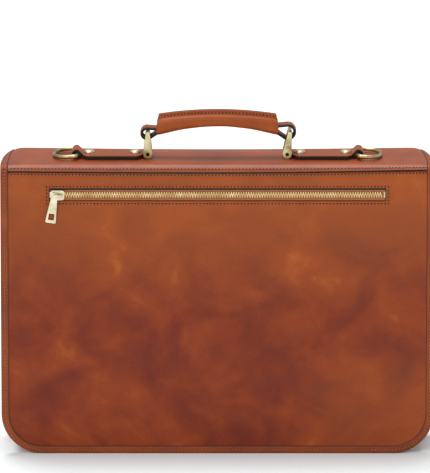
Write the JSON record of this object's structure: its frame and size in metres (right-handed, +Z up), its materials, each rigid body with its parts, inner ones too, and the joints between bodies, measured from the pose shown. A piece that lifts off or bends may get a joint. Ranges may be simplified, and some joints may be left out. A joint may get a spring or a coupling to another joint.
{
  "type": "leather briefcase",
  "caption": "Leather briefcase with a fold-over flap on strap closures, a rear zip pocket, a stirrup handle and D-rings.",
  "frame": {"origin": "on the ground under the middle of the bag", "axes": "+X along the bag's width, +Y from the zip pocket's face to the flap's face, +Z up"},
  "size_m": [0.42, 0.093, 0.3367],
  "materials": {
    "leather": "semi-gloss, mottled tan",
    "binding_leather": "semi-gloss tan strip",
    "antique_brass": "aged brass",
    "zip_tape": "woven tape",
    "lining": "woven cotton",
    "board": "bonded leather board",
    "filler": "layered leather offcuts"
  },
  "bodies": {
    "case": {"back_panel": "leather", "flap_hem": "leather", "rear_binding": "binding_leather", "hem_binding": "binding_leather", "gusset": "leather", "front_panel": "leather", "front_binding": "binding_leather", "bottom_board": "board", "divider": "leather", "zip_tape_upper": "zip_tape", "zip_tape_lower": "zip_tape", "zip_teeth_upper": "antique_brass", "zip_teeth_lower": "antique_brass", "zip_stops": "antique_brass", "zip_pocket_lining": "lining", "front_pocket_gusset": "leather", "front_pocket_panel": "leather", "snap_studs": "antique_brass"},
    "flap_top": {"flap_top": "leather", "flap_top_binding": "binding_leather", "carrier_tab_left": "leather", "carrier_tab_right": "leather", "tab_rivets_left": "antique_brass", "tab_rivets_right": "antique_brass", "stirrup_pin_left": "antique_brass", "stirrup_pin_right": "antique_brass"},
    "flap_front": {"flap_front": "leather", "flap_front_binding": "binding_leather", "flap_strap_left": "leather", "flap_strap_right": "leather", "strap_tip_left": "leather", "strap_tip_right": "leather", "buckle_left": "antique_brass", "buckle_right": "antique_brass", "buckle_prong_left": "antique_brass", "buckle_prong_right": "antique_brass", "keeper_left": "leather", "keeper_right": "leather"},
    "tongue_left": {"tongue_left": "leather", "snap_cap_left": "antique_brass"},
    "tongue_right": {"tongue_right": "leather", "snap_cap_right": "antique_brass"},
    "ring_left": {"d_ring_left": "antique_brass"},
    "ring_right": {"d_ring_right": "antique_brass"},
    "stirrup_left": {"stirrup_left": "antique_brass"},
    "stirrup_right": {"stirrup_right": "antique_brass"},
    "handle": {"handle_core": "filler", "handle_grip": "leather", "handle_loop_left": "leather", "handle_loop_right": "leather"},
    "zip_slider": {"zip_slider": "antique_brass"},
    "zip_pull": {"zip_pull": "antique_brass"}
  },
  "joints": [
    {"name": "flap_hinge", "type": "hinge", "parent": "case", "child": "flap_top", "pos_m": [0, -0.03476, 0.28966], "axis": [1, 0, 0], "range_deg": [0, 120]},
    {"name": "flap_front_fold", "type": "hinge", "parent": "flap_top", "child": "flap_front", "pos_m": [0, 0.03176, 0.28966], "axis": [1, 0, 0], "range_deg": [0, 90]},
    {"name": "tongue_lift_left", "type": "hinge", "parent": "flap_front", "child": "tongue_left", "pos_m": [-0.105, 0.0449, 0.0934], "axis": [1, 0, 0], "range_deg": [0, 80]},
    {"name": "tongue_lift_right", "type": "hinge", "parent": "flap_front", "child": "tongue_right", "pos_m": [0.105, 0.0449, 0.0934], "axis": [1, 0, 0], "range_deg": [0, 80]},
    {"name": "ring_fold_left", "type": "hinge", "parent": "flap_top", "child": "ring_left", "pos_m": [-0.1364, -0.0065, 0.2936], "axis": [0, 1, 0], "range_deg": [0, 120]},
    {"name": "ring_fold_right", "type": "hinge", "parent": "flap_top", "child": "ring_right", "pos_m": [0.1364, -0.0065, 0.2936], "axis": [0, -1, 0], "range_deg": [0, 120]},
    {"name": "stirrup_swing_left", "type": "hinge", "parent": "flap_top", "child": "stirrup_left", "pos_m": [-0.0675, -0.0065, 0.2941], "axis": [0, 1, 0], "range_deg": [-40, 40]},
    {"name": "stirrup_swing_right", "type": "hinge", "parent": "flap_top", "child": "stirrup_right", "pos_m": [0.0675, -0.0065, 0.2941], "axis": [0, 1, 0], "range_deg": [-40, 40]},
    {"name": "handle_level", "type": "hinge", "parent": "stirrup_left", "child": "handle", "pos_m": [-0.0675, -0.0065, 0.3146], "axis": [0, 1, 0], "range_deg": [-40, 40]},
    {"name": "zip_travel", "type": "slide", "parent": "case", "child": "zip_slider", "axis": [1, 0, 0], "range_m": [0, 0.307]},
    {"name": "zip_pull_swing", "type": "hinge", "parent": "zip_slider", "child": "zip_pull", "pos_m": [-0.1575, -0.04425, 0.2599], "axis": [0, -1, 0], "range_deg": [-70, 55]}
  ],
  "couplings": [
    {"joint": "stirrup_swing_right", "follows": "stirrup_swing_left", "ratio": 1},
    {"joint": "handle_level", "follows": "stirrup_swing_left", "ratio": -1}
  ]
}
